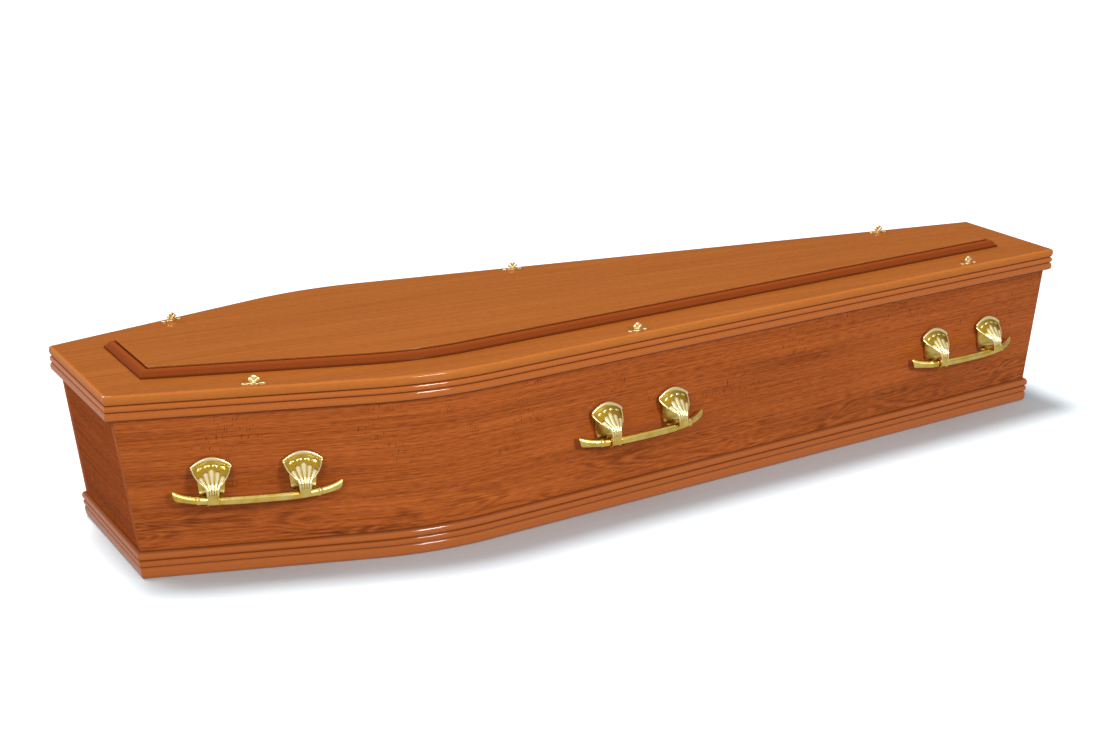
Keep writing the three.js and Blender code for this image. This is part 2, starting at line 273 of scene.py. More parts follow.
# distance along a side from where its bend is level, and the inset there, of a point in metres
def sideStation(point):
    arm = Vector((point.x / mm - bendCentre.x, abs(point.y) / mm - bendCentre.y))
    angle = math.atan2(arm.x, arm.y)
    radius = plan["shoulderRadius"]
    if -headAngle <= angle <= -footAngle:
        return radius * angle, radius - arm.length
    slant = headAngle if angle < -headAngle else footAngle
    run = arm.x * math.cos(slant) + arm.y * math.sin(slant)
    out = -arm.x * math.sin(slant) + arm.y * math.cos(slant)
    return -radius * slant + run, radius - out


# mouldings and boards that run along the sides and ends

# The plane of a mitre, through the corner of a face with these insets. Its two directions follow
# what stands proud of the face, and the face's own lean.
def mitrePlane(end, insets, leans):
    slope = headSlope if end == "head" else footSlope
    way = -1 if end == "head" else 1
    x = way * (halfLength - insets[end])
    corner = Vector((x, -sideLine(slope, x, insets["side"]), plan["sideTop"]))
    spread = math.hypot(1, slope)
    proud = Vector((way, -(spread + way * slope), 0))
    down = Vector((-way * leans[0], -(-way * slope * leans[0] - leans[1] * spread), -1))
    return corner * mm, proud.cross(down).normalized()


# cuts a piece at a plane, and keeps the side where the point keep is
def bisectAt(piece, point, normal, keep, shift=0.1):
    if (keep - point).dot(normal) < 0:
        normal = -normal
    enterEditAll(piece)
    bpy.ops.mesh.bisect(
        plane_co=point + normal * shift * mm, plane_no=normal, use_fill=True, clear_inner=True,
    )
    leaveEdit()


# a number for each vertex, which a material reads by its name
def layValues(piece, name, valueAt):
    layer = piece.data.attributes.new(name, "FLOAT", "POINT")
    for item, vertex in zip(layer.data, piece.data.vertices):
        item.value = valueAt(vertex.co)


# how deep each vertex lies in a groove, for the stain and painted shade
def layDepth(piece, insetOf, depthOf):
    layValues(piece, "depth", lambda point: max(0.0, depthOf(insetOf(point), point.z / mm)))


# The grain of a piece along a side goes along its run and round its profile, in metres. It takes
# the place of the outline's own coordinates.
def layGrain(piece, profile):
    girth = [0]
    for a, b in zip(profile, profile[1:]):
        girth.append(girth[-1] + math.dist(a, b))
    places = []
    for vertex in piece.data.vertices:
        run, inset = sideStation(vertex.co)
        here = (inset, vertex.co.z / mm)
        nearest = min(range(len(profile)), key=lambda i: math.dist(profile[i], here))
        places.append((run * mm, girth[nearest] * mm))
    piece.data.uv_layers.remove(piece.data.uv_layers[0])
    layer = piece.data.uv_layers.new(name="grain")
    for loop in piece.data.loops:
        layer.data[loop.index].uv = places[loop.vertex_index]


# A piece that follows the right-hand side: its profile is drawn square to the head run, pulled
# straight to the bend, spun round the bend's centre and pulled straight on to the foot
def runAlongSide(name, profile, planes):
    along = Vector((math.cos(headAngle), -math.sin(headAngle), 0))
    out = Vector((-math.sin(headAngle), -math.cos(headAngle), 0))
    centre = Vector((bendCentre.x, -bendCentre.y, 0))
    reach = plan["headReach"]
    piece = outlineFace(name, [
        centre + out * (plan["shoulderRadius"] - inset) - along * reach + Vector((0, 0, z))
        for inset, z in profile
    ])
    enterEditAll(piece)
    pullOut(along * reach * mm)
    bpy.ops.mesh.spin(steps=plan["arcSteps"], angle=bendAngle, center=centre * mm, axis=(0, 0, -1))
    onward = Vector((math.cos(footAngle), -math.sin(footAngle), 0))
    pullOut(onward * plan["footReach"] * mm)
    leaveEdit()
    for point, normal in planes:
        bisectAt(piece, point, normal, Vector((shoulderX * mm, -0.2, 0.1)))
    tidyNormals(piece)
    return piece


# a piece that runs across an end, between two mitres
def runAcrossEnd(name, end, profile, plane):
    way = -1 if end == "head" else 1
    reach = plan["endReach"]
    piece = outlineFace(name, [(way * (halfLength - inset), -reach, z) for inset, z in profile])
    enterEditAll(piece)
    pullOut((0, 2 * reach * mm, 0))
    leaveEdit()
    point, normal = plane
    flip = Vector((1, -1, 1))
    for corner, across in ((point, normal), (point * flip, normal * flip)):
        bisectAt(piece, corner, across, Vector((way * (halfLength - 5) * mm, 0, 0.1)))
    tidyNormals(piece)
    return piece


flipSide = Matrix.Diagonal((1, -1, 1, 1))


# Four mitred lengths of a moulding. pointsFor gives its profile, as insets and heights, for one
# edge, and hollowAt how deep a point of it lies in a groove
def makeMoulding(name, node, pointsFor, hollowAt, insets, leans, material):
    planes = {end: mitrePlane(end, insets, leans) for end in ("head", "foot")}
    right = runAlongSide(name + "Right", pointsFor("side"), planes.values())
    layDepth(right, lambda point: sideStation(point)[1], hollowAt("side"))
    made = {"right": right, "left": copyOf(right, name + "Left", flipSide)}
    for end in ("head", "foot"):
        made[end] = runAcrossEnd(name + end.title(), end, pointsFor(end), planes[end])
        layDepth(made[end], lambda point: halfLength - abs(point.x) / mm, hollowAt(end))
    for place, piece in made.items():
        smooth(piece, plan["smoothAngle"])
        placePiece(piece, [f"{node}_{place}"], material)


reedShape = {"steps": 12, "quirk": 0.5, "fullness": 0.8}


# a half-round reed between two heights, from top to bottom, as [proud, z]
def reed(root, crest, top, bottom):
    pairs = [(root, top)]
    for step in range(reedShape["steps"] + 1):
        angle = math.pi * step / reedShape["steps"]
        z = (top + bottom) / 2 + ((top - bottom) / 2 - reedShape["quirk"]) * math.cos(angle)
        pairs.append((root + (crest - root) * math.sin(angle) ** reedShape["fullness"], z))
    return pairs + [(root, bottom)]


# materials

# sRGB hex to linear colour
def colour(code):
    values = [int(code[i:i + 2], 16) / 255 for i in (1, 3, 5)]
    return [v / 12.92 if v <= 0.04045 else ((v + 0.055) / 1.055) ** 2.4 for v in values] + [1.0]


# Adds a node of a kind, which may name its operation too, with settings and with what goes into its
# sockets: a value, a socket, or a node for its first output. Stops fill a colour ramp.
def addNode(tree, kind, inputs=None, stops=None, **settings):
    kind, *operation = kind.split()
    node = tree.nodes.new("ShaderNode" + kind)
    for word in operation:
        node.operation = word
    for name, value in settings.items():
        setattr(node, name, value)
    for name, value in (inputs or {}).items():
        if isinstance(value, bpy.types.Node):
            value = value.outputs[0]
        if isinstance(value, bpy.types.NodeSocket):
            tree.links.new(value, node.inputs[name])
        else:
            node.inputs[name].default_value = value
    if stops:
        ramp = node.color_ramp
        while len(ramp.elements) < len(stops):
            ramp.elements.new(1.0)
        for element, (position, code) in zip(ramp.elements, stops):
            element.position = position
            element.color = colour(code)
    return node


def newMaterial(name):
    material = bpy.data.materials.new(name)
    material.use_nodes = True
    material.node_tree.nodes.clear()
    return material, material.node_tree


# Sliced oak veneer, stained golden brown and lacquered to a gloss. It reads as fine straight
# streaks with soft broad bands, short dark pores, and on the sides a band of wavy figure.
veneerLook = {
    "space": "Object",
    "turn": (0, 0, 0),
    "stops": (0.0, 0.3, 0.55, 0.9),
    "pore": "#471a05",
    "wander": (2.2, 9, 9),    # a slow wander keeps the streaks from being ruled lines
    "wanderMm": 12,
    "streak": 0.4,
    "streakMm": 3.2,          # across the grain; real growth rings are 1 to 3 mm
    "streakLongMm": 300,
    "fine": 0.5,
    "fineMm": 1.2,            # real pores are 0.3 mm, drawn coarser so that they show
    "fineLongMm": 14,
    "band": 0.35,
    "bandMm": 55,
    "bandLongMm": 900,
    "figure": 0.0,            # arches of a crown cut, between two heights in metres
    "figureLow": 0.035,
    "figureHigh": 0.1,
    "hills": (4.4, 19, 19),
    "rings": 75,
    "ringBalance": 0.35,
    "patchMm": (60, 160),
    "patchFrom": (0.38, 0.62),
    "ticks": 0.0,             # short dark checks across the grain, in loose clusters high up
    "tickMm": (16, 1.7),
    "tickFrom": (0.64, 0.7),
    "clusterMm": (70, 90),
    "clusterFrom": (0.52, 0.6),
    "tickHeight": (0.1, 0.17),
    "edge": "",               # the paler edge of the lid
    "edgeShare": 0.45,
    "groove": 0.0,            # stain and painted shade gather in grooves of this depth
    "grooveShare": 0.85,
    "roughness": 0.42,
    "roughnessSpread": 0.08,
    "bump": 0.12,
    "bumpDistance": 0.0003,
    "coat": 0.24,
    "coatRoughness": 0.09,
}


def makeVeneer(name, colours, **changes):
    look = {**veneerLook, **changes}
    material, tree = newMaterial(name)
    base = addNode(tree, "Mapping", {
        "Vector": addNode(tree, "TexCoord").outputs[look["space"]],
        "Rotation": [math.radians(angle) for angle in look["turn"]],
    })

    # x runs with the grain
    wander = addNode(tree, "TexNoise", {
        "Vector": addNode(tree, "Mapping", {"Vector": base, "Scale": look["wander"]}),
        "Scale": 1.0, "Detail": 2.0,
    })
    shifted = addNode(tree, "VectorMath MULTIPLY_ADD", {
        0: wander.outputs["Color"], 1: (0.0, look["wanderMm"] * mm, 0.0), 2: base,
    })

    def grainNoise(acrossMm, alongMm, detail=1.0, source=base):
        scaled = addNode(tree, "Mapping", {
            "Vector": source,
            "Scale": (1000 / alongMm, 1000 / acrossMm, 1000 / acrossMm),
        })
        return addNode(tree, "TexNoise", {
            "Vector": scaled, "Scale": 1.0, "Detail": detail, "Roughness": 0.55,
        })

    tone = 0.5
    layers = {}
    for layer, detail in (("streak", 3.0), ("fine", 1.0), ("band", 2.0)):
        layers[layer] = grainNoise(look[layer + "Mm"], look[layer + "LongMm"], detail, shifted)
        centred = addNode(tree, "Math SUBTRACT", {0: layers[layer], 1: 0.5})
        tone = addNode(tree, "Math MULTIPLY_ADD", {0: centred, 1: look[layer] * 2, 2: tone})

    across = addNode(tree, "SeparateXYZ", {"Vector": base}).outputs["Y"]
    if look["figure"]:
        # contour lines of a slow noise nest into the arches and curls of a crown cut
        hills = addNode(tree, "TexNoise", {
            "Vector": addNode(tree, "Mapping", {"Vector": base, "Scale": look["hills"]}),
            "Scale": 1.0, "Detail": 1.2, "Roughness": 0.4, "Distortion": 0.6,
        })
        rings = addNode(tree, "Math SINE", {
            0: addNode(tree, "Math MULTIPLY", {0: hills, 1: look["rings"]}),
        })
        middle = (look["figureLow"] + look["figureHigh"]) / 2
        half = (look["figureHigh"] - look["figureLow"]) / 2
        away = addNode(tree, "Math ABSOLUTE", {
            0: addNode(tree, "Math SUBTRACT", {0: across, 1: middle}),
        })
        mask = addNode(tree, "MapRange", {
            "Value": away, "From Min": half * 1.5, "From Max": half * 0.6,
        }, interpolation_type="SMOOTHSTEP")
        patchy = addNode(tree, "MapRange", {
            "Value": grainNoise(*look["patchMm"]),
            "From Min": look["patchFrom"][0], "From Max": look["patchFrom"][1],
        })
        amount = addNode(tree, "Math MULTIPLY", {0: mask, 1: patchy})
        dip = addNode(tree, "Math MULTIPLY", {
            0: addNode(tree, "Math SUBTRACT", {0: rings, 1: look["ringBalance"]}),
            1: look["figure"],
        })
        tone = addNode(tree, "Math MULTIPLY_ADD", {0: dip, 1: amount, 2: tone})

    stainsAndShade = []
    if look["ticks"]:
        share = look["ticks"]
        for source, (low, high) in (
            (grainNoise(*look["tickMm"]), look["tickFrom"]),
            (grainNoise(*look["clusterMm"]), look["clusterFrom"]),
            (across, look["tickHeight"]),
        ):
            part = addNode(tree, "MapRange", {"Value": source, "From Min": low, "From Max": high})
            share = addNode(tree, "Math MULTIPLY", {0: part, 1: share})
        stainsAndShade.append((share, look["pore"]))
    if look["edge"]:
        share = addNode(tree, "Math MULTIPLY", {
            0: addNode(tree, "Attribute", attribute_name="edge").outputs["Fac"],
            1: look["edgeShare"],
        })
        stainsAndShade.append((share, look["edge"]))
    # darker in the grooves: stain, and painted shade
    if look["groove"]:
        share = addNode(tree, "MapRange", {
            "Value": addNode(tree, "Attribute", attribute_name="depth").outputs["Fac"],
            "From Min": look["groove"] / 4, "From Max": look["groove"],
            "To Max": look["grooveShare"],
        })
        stainsAndShade.append((share, look["pore"]))

    shade = addNode(tree, "ValToRGB", {"Fac": tone}, tuple(zip(look["stops"], colours)))
    for share, tint in stainsAndShade:
        shade = addNode(tree, "MixRGB", {"Fac": share, "Color1": shade, "Color2": colour(tint)})
    rough = addNode(tree, "MapRange", {
        "Value": layers["streak"],
        "To Min": look["roughness"] + look["roughnessSpread"],
        "To Max": look["roughness"] - look["roughnessSpread"],
    })
    bump = addNode(tree, "Bump", {
        "Height": layers["fine"], "Strength": look["bump"], "Distance": look["bumpDistance"],
    })
    shader = addNode(tree, "BsdfPrincipled", {
        "Base Color": shade,
        "Roughness": rough,
        "Normal": bump,
        "IOR": 1.5,
        "Specular IOR Level": 0.0,    # the wood itself is matt; its gloss is the lacquer's
        "Coat Weight": look["coat"],
        "Coat Roughness": look["coatRoughness"],
        "Coat IOR": 1.5,
    })
    addNode(tree, "OutputMaterial", {"Surface": shader})
    return material


# Bare medium-density board, sawn: dull, even and slightly woolly
def makeBareBoard(name):
    material, tree = newMaterial(name)
    place = addNode(tree, "TexCoord").outputs["Object"]
    fibre, patch = (
        addNode(tree, "TexNoise", {"Vector": place, "Scale": scale, "Detail": detail})
        for scale, detail in ((420.0, 4.0), (6.0, 3.0))
    )
    mixed = addNode(tree, "Math MULTIPLY_ADD", {0: fibre, 1: 0.5, 2: patch})
    shade = addNode(tree, "ValToRGB", {"Fac": mixed}, (
        (0.45, "#7d5836"), (0.75, "#a37b50"), (1.0, "#b48d61"),
    ))
    rough = addNode(tree, "MapRange", {"Value": fibre, "To Min": 0.7, "To Max": 0.92})
    bump = addNode(tree, "Bump", {"Height": fibre, "Strength": 0.35, "Distance": 0.0005})
    shader = addNode(tree, "BsdfPrincipled", {
        "Base Color": shade, "Roughness": rough, "Normal": bump, "IOR": 1.5,
    })
    addNode(tree, "OutputMaterial", {"Surface": shader})
    return material


# Brass plating on a die-cast fitting, bright and lacquered: pale gold, with a faint cast ripple
# and a little tarnish in patches. Its hollows get an olive gold painted shade, its ribs a pale
# painted highlight
brassLook = {
    "patch": 55,     # tarnish every 18 mm, ripples every 7 mm
    "ripple": 150,
    "rougher": 0.07,
    "smoother": 0.05,
    "bump": 0.06,
    "bumpDistance": 0.0006,
}


def makeBrass(name, warm, pale, shadeTint, highlightTint, roughness):
    material, tree = newMaterial(name)
    place = addNode(tree, "TexCoord").outputs["Object"]
    patch = addNode(tree, "TexNoise", {"Vector": place, "Scale": brassLook["patch"], "Detail": 3.0})
    ripple = addNode(
        tree, "TexNoise", {"Vector": place, "Scale": brassLook["ripple"], "Detail": 1.0})
    shade = addNode(tree, "ValToRGB", {"Fac": patch}, ((0.3, warm), (0.65, pale)))
    hollow = addNode(tree, "Attribute", attribute_name="hollow").outputs["Fac"]
    raised = addNode(tree, "Math MULTIPLY", {0: hollow, 1: -1.0})
    # painted shade in the hollows, painted highlight on the raised parts
    for share, tint in ((hollow, shadeTint), (raised, highlightTint)):
        shade = addNode(tree, "MixRGB", {"Fac": share, "Color1": shade, "Color2": colour(tint)})
    rough = addNode(tree, "MapRange", {
        "Value": patch,
        "To Min": roughness + brassLook["rougher"], "To Max": roughness - brassLook["smoother"],
    })
    bump = addNode(tree, "Bump", {
        "Height": ripple, "Strength": brassLook["bump"], "Distance": brassLook["bumpDistance"],
    })
    shader = addNode(tree, "BsdfPrincipled", {
        "Base Color": shade, "Metallic": 1.0, "Roughness": rough, "Normal": bump,
    })
    addNode(tree, "OutputMaterial", {"Surface": shader})
    return material


# from the darkest streaks to the lightest
sideVeneer = makeVeneer(
    "sideVeneerOak", ("#5c2910", "#844018", "#a05121", "#b6622c"),
    space="UV", figure=0.16, ticks=0.9, streak=0.44, fine=0.45, fineLongMm=22, coat=0.14,
)
endVeneer = makeVeneer(
    "endVeneerOak", ("#5c2408", "#77350d", "#8d4113", "#a0501b"),
    turn=(0, 0, -90), streak=0.35, band=0.45, coat=0.05,
)
lidVeneer = makeVeneer(
    "lidVeneerOak", ("#713912", "#874819", "#965420", "#a6652e"),
    edge="#c8742c", groove=3.5, streak=0.32, fine=0.3, band=0.12, coat=0.4, coatRoughness=0.12,
)
# Solid oak mouldings. They keep the coordinates their profile was drawn with, which run with the
# moulding and crowd the streaks across it, so that its colour looks nearly even.
mouldingLook = {
    "space": "UV", "streakMm": 2.2, "bandMm": 20, "bandLongMm": 500,
    "streak": 0.6, "fine": 0.8, "coat": 0.85,
}
# their grooves darken with stain, and painted shade
lidMouldingOak = makeVeneer(
    "lidMouldingOak", ("#75330a", "#984a10", "#b25e1c", "#c8742c"), **mouldingLook,
    pore="#5c2706", groove=3.4,
)
plinthMouldingOak = makeVeneer(
    "plinthMouldingOak", ("#6d2d09", "#8e430e", "#a75618", "#bf6a26"), **mouldingLook,
    pore="#552205", groove=3.0, grooveShare=0.7,
)
# darker than the other mouldings as painted shade, with more painted shade in its cove and groove
frameMouldingOak = makeVeneer(
    "frameMouldingOak", ("#54220a", "#6e2f0b", "#853c10", "#9b4c19"),
    space="UV", streakMm=2.0, bandMm=18, bandLongMm=400, groove=3.2, grooveShare=0.6, coat=0.2,
)
bareBoard = makeBareBoard("bareFibreboard")
handleBrass = makeBrass(
    "handleBrassPlate", "#dcb548", "#f1d67c", "#bb9834", "#fdecb4", roughness=0.26)
screwBrass = makeBrass(
    "screwBrassPlate", "#dfbb74", "#f3dba2", "#b98a3c", "#fbe4b4", roughness=0.36)
print("materials made")


# boards

sideBoard = {"thickness": 16, "edgeRadius": 0.6, "rows": 6, "smoothAngle": 30}


# each side board is one board bent at the shoulder, with its ends cut to the lean of the end boards
def makeSideBoards():
    low, high = wallAt(0), wallAt(plan["sideTop"])
    rows = sideBoard["rows"]
    profile = [
        (low["side"] + (high["side"] - low["side"]) * row / rows, plan["sideTop"] * row / rows)
        for row in range(rows + 1)
    ]
    profile += [
        (high["side"] + sideBoard["thickness"], plan["sideTop"]),
        (low["side"] + sideBoard["thickness"], 0),
    ]
    right = runAlongSide("sideBoardRight", profile, [])
    layGrain(right, profile)
    for end, way in (("head", -1), ("foot", 1)):
        point = Vector((way * (halfLength - high[end]), 0, plan["sideTop"])) * mm
        normal = Vector((1, 0, -way * plan["endLean"])).normalized()
        bisectAt(right, point, normal, Vector((0, 0, 0.1)), 0)
    tidyNormals(right)
    applyModifier(
        right, "BEVEL", width=sideBoard["edgeRadius"] * mm, segments=2,
        limit_method="ANGLE", angle_limit=math.radians(60),
    )
    left = copyOf(right, "sideBoardLeft", flipSide)
    for piece, node in ((right, "side_board_right"), (left, "side_board_left")):
        smooth(piece, sideBoard["smoothAngle"])
        placePiece(piece, [node], sideVeneer)


makeSideBoards()
for name, material in (
    ("head_board", endVeneer), ("foot_board", endVeneer), ("base_board", bareBoard),
):
    nodes[name].data.materials.clear()
    nodes[name].data.materials.append(material)
print("boards made")


# plinth: a broad bead with a sloping top, over two reeds

plinth = {"height": 46, "root": 4.6, "crest": 7.4, "upperGroove": 30.3, "lowerGroove": 18.9}


# how far its profile stands out of the wall, and the height there
def plinthPoints(edge):
    height, root, crest = plinth["height"], plinth["root"], plinth["crest"]
    upper, lower = plinth["upperGroove"], plinth["lowerGroove"]
    top = smoothLine([
        (0.3, height), (3, height - 0.8), (6, height - 3.6), (crest, height - 7),
        (crest, upper + 4), (root, upper),
    ])
    foot = smoothLine([
        (root, lower), (crest - 0.5, lower - 3.2), (crest, lower - 8), (crest - 0.3, 3),
        (crest - 2, 0),
    ])
    points = top + reed(root, crest, upper, lower)[1:] + foot[1:] + [(0.3, 0)]
    return [(wallAt(z)[edge] - proud, z) for proud, z in points]


def plinthHollow(edge):
    return lambda inset, z: inset - wallAt(z)[edge] + plinth["crest"]


makeMoulding(
    "plinth", "plinth", plinthPoints, plinthHollow,
    plan["wallInset"], (plan["endLean"], plan["sideLean"]), plinthMouldingOak,
)
print("plinth made")


# lid: a board with a rounded edge, and a two-reed moulding under it

lid = {
    "top": 318,
    "board": 17,
    "widest": 310.5,
    "flat": 0.2,
    "upperRound": (5.5, 7.5),    # how far each round goes in, and how high or deep it is
    "lowerRound": (4, 9.3),
    "fullness": 1.1,
    "paleBelow": 317.4,
    "darkBelow": 303.2,
    "darkening": 0.8,
    "levelStep": 4,
    "smoothAngle": 40,
    "cornerRun": 14,
    "gap": 0.3,
    "groove": 289.2,
    "bottom": 274.5,
    "root": -4,
    "crest": -0.5,
}


# A board whose edge follows the outline. From its widest line, the upper and the lower face are
# inset step by step, each step with its own rise. A last level step keeps the flat's shading flat.
# Its edge takes less stain up to paleBelow, and painted shade darkens it under darkBelow.
def makeBoard(name, margins, upper, lower, paleBelow, darkBelow):
    half = halfOutline(*[margin + upper[0][0] for margin in margins])
    # a corner's rounded shading ends at a further point beside it, and doesn't run along the edge
    run = lid["cornerRun"]
    (x0, y0), (x1, y1) = half[0], half[-1]
    half.insert(1, (x0 + run, y0 + run * headSlope))
    half.insert(-1, (x1 - run, y1 - run * footSlope))
    half = [(x0, y0 - run)] + half + [(x1, y1 - run)]
    ring = half + [(x, -y) for x, y in reversed(half)]
    piece = outlineFace(name, [(x, y, upper[0][1]) for x, y in reversed(ring)])
    enterEditAll(piece)
    thickness = upper[1][1] - upper[0][1]
    pullOut((0, 0, thickness * mm))
    leaveEdit()
    tidyNormals(piece)
    middle = (upper[0][1] + upper[1][1]) / 2 * mm
    for steps, way in ((upper[1:], 1), (lower, -1)):
        pickFaces(piece, lambda face: (
            abs(face.normal.z) > 0.9 and (face.center.z > middle) == (way > 0)))
        for before, after in zip(steps, steps[1:]):
            bpy.ops.mesh.inset(
                thickness=(after[0] - before[0]) * mm, depth=(after[1] - before[1]) * mm * way,
                use_even_offset=True, use_boundary=True,
            )
        leaveEdit()
    smooth(piece, lid["smoothAngle"])
    darken = lid["darkening"]
    # painted shade under darkBelow, read by the lid veneer as a depth: under the lid's edge and
    # down the panel's edge
    layValues(piece, "depth", lambda point: max(0.0, (darkBelow - point.z / mm) * darken))
    layValues(piece, "edge", lambda point: 1.0 if point.z / mm < paleBelow else 0.0)
    return piece


def makeLid():
    middle, start = lid["widest"], lid["widest"] - lid["flat"]
    (upperIn, upperRise), (lowerIn, lowerDrop) = lid["upperRound"], lid["lowerRound"]
    upper = [(0, start), (0, middle)] + [
        (upperIn * across ** lid["fullness"], middle + upperRise * up)
        for across, up in quarterRound(6)
    ]
    upper.append((upper[-1][0] + lid["levelStep"], upper[-1][1]))
    lower = [(0, start)] + [
        (lowerIn * across, start - lowerDrop * down) for across, down in quarterRound(5)
    ]
    board = makeBoard("lidBoard", (0, 0, 0), upper, lower, lid["paleBelow"], lid["darkBelow"])
    placePiece(board, ["lid_board"], lidVeneer)


def lidMouldingPoints(edge):
    root, crest, groove, bottom = (lid[key] for key in ("root", "crest", "groove", "bottom"))
    top = lid["top"] - lid["board"] - lid["gap"]
    reeds = reed(root, crest, top, groove) + reed(root, crest, groove, bottom)[1:]
    back = plan["wallInset"][edge] - 1
    return [(back, top)] + [(-proud, z) for proud, z in reeds] + [(back, bottom)]


def lidMouldingHollow(edge):
    return lambda inset, z: inset + lid["crest"]


makeLid()
makeMoulding(
    "lidMoulding", "lid_moulding", lidMouldingPoints, lidMouldingHollow,
    {"head": 0, "side": 0, "foot": 0}, (0, 0), lidMouldingOak,
)
print("lid made")


# raised panel and its frame: a low step and a hollow outside, then an edge and a flatter slope up

panel = {
    "margins": {"head": 79, "side": 76, "foot": 90},
    "height": 15.6,
    "edgeRadius": 1.4,
    "levelStep": 3,
    "gap": 0.9,
    "frameWidth": 16.5,
    "frameHollow": (8.6, 0.35),    # inwards to here from the outside, and how strong the painted shade is
    "frameGroove": (14, 1.3),
    "above": 0.3,                  # just clear of the lid, so that the faces don't coincide
}


def framePoints(edge):
    width = panel["frameWidth"]
    outer = smoothLine([(0, 2.4), (0.9, 3.6), (2.6, 4.3), (4.4, 5.8), (6, 8.3), (8, 10.9)])
    crown = smoothLine([(8, 10.9), (10.5, 12.2), (13, 12.8), (15, 12.2), (width, 10.4)])
    return [
        (panel["margins"][edge] + inset, lid["top"] + panel["above"] + rise)
        for inset, rise in [(0, 0)] + outer + crown[1:] + [(width, 0)]
    ]


# painted shade lies in the frame's outer hollow and in the groove beside the panel
def frameHollow(edge):
    margin = panel["margins"][edge]
    (hollow, hollowShare), (groove, grooveShare) = panel["frameHollow"], panel["frameGroove"]
    return lambda inset, z: max(
        (hollow - inset + margin) * hollowShare, (inset - margin - groove) * grooveShare)


def makePanel():
    edge, radius = panel["frameWidth"] + panel["gap"], panel["edgeRadius"]
    top = lid["top"] + panel["height"]
    upper = [(edge, lid["top"] + panel["above"]), (edge, top - radius)] + [
        (edge + radius * across, top - radius + radius * up) for across, up in quarterRound(4)
    ]
    upper.append((upper[-1][0] + panel["levelStep"], upper[-1][1]))
    board = makeBoard("raisedPanel", panel["margins"].values(), upper, [], 0, top + 1)
    placePiece(board, ["raised_panel"], lidVeneer)


makePanel()
makeMoulding(
    "panelFrame", "panel_frame", framePoints, frameHollow,
    panel["margins"], (0, 0), frameMouldingOak,
)
print("panel made")


# fittings

# where a fitting stands on a side: moved in from the outline, turned square to it, tilted back
def fittingPlace(fromHead, side, inset, z, tilt=0.0):
    x = fromHead - halfLength
    slope = headSlope if x < shoulderX else footSlope
    y = sideLine(slope, x, inset)
    out = Vector((-slope, 1)).normalized()
    turn = math.atan2(out.x, -side * out.y)
    return (
        Matrix.Translation(Vector((x, side * y, z)) * mm)
        @ Matrix.Rotation(turn, 4, "Z") @ Matrix.Rotation(tilt, 4, "X")
    )


def joinPieces(target, *others):
    makeActive(target)
    for other in others:
        other.select_set(True)
    bpy.ops.object.join()


# A plate from a grid: its front stands where pointAt puts it, its back a thickness behind. hollowAt
# gives each place's painted shade, 1 in the hollows, down to -1, a painted highlight, on the raised
# parts
def plateFrom(name, pointAt, columns, rows, thickness, hollowAt=None):
    deselectAll()
    bpy.ops.mesh.primitive_grid_add(x_subdivisions=columns, y_subdivisions=rows, size=2)
    piece = justMade(name)
    if hollowAt:
        layValues(piece, "hollow", lambda point: hollowAt(point.x, (point.y + 1) / 2))
    for vertex in piece.data.vertices:
        vertex.co = Vector(pointAt(vertex.co.x, (vertex.co.y + 1) / 2)) * mm
    applyModifier(piece, "SOLIDIFY", thickness=thickness * mm, offset=-1.0, use_even_offset=False)
    return piece


# handles: x runs along the side, -y points out of it, z is from the bar's middle

handle = {
    "fromHead": [231, 934, 1734],
    "height": 139,
    "clear": 0.3,
    "spacing": 148,
    "length": 268,
    "middleOut": 33.6,
    "tipOut": 11,
    "corners": 20,
    "tall": 7.3,        # radii, and how the tips differ
    "thick": 6.7,
    "tipTaller": 3.0,
    "tipThinner": 1.2,
    "ringAt": 96,
    "barDrop": -3,      # the bar's own height, and how far bow and flare lift its tips
    "bowLift": 2.4,
    "flareLift": 2.4,
    "tipTurn": 0.3,
}


def bowAt(x):
    return abs(2 * x / handle["length"]) ** 3


# the bow is flat between the brackets and falls back to the side towards the tips
def barOut(x):
    return handle["middleOut"] + (handle["tipOut"] - handle["middleOut"]) * bowAt(x)


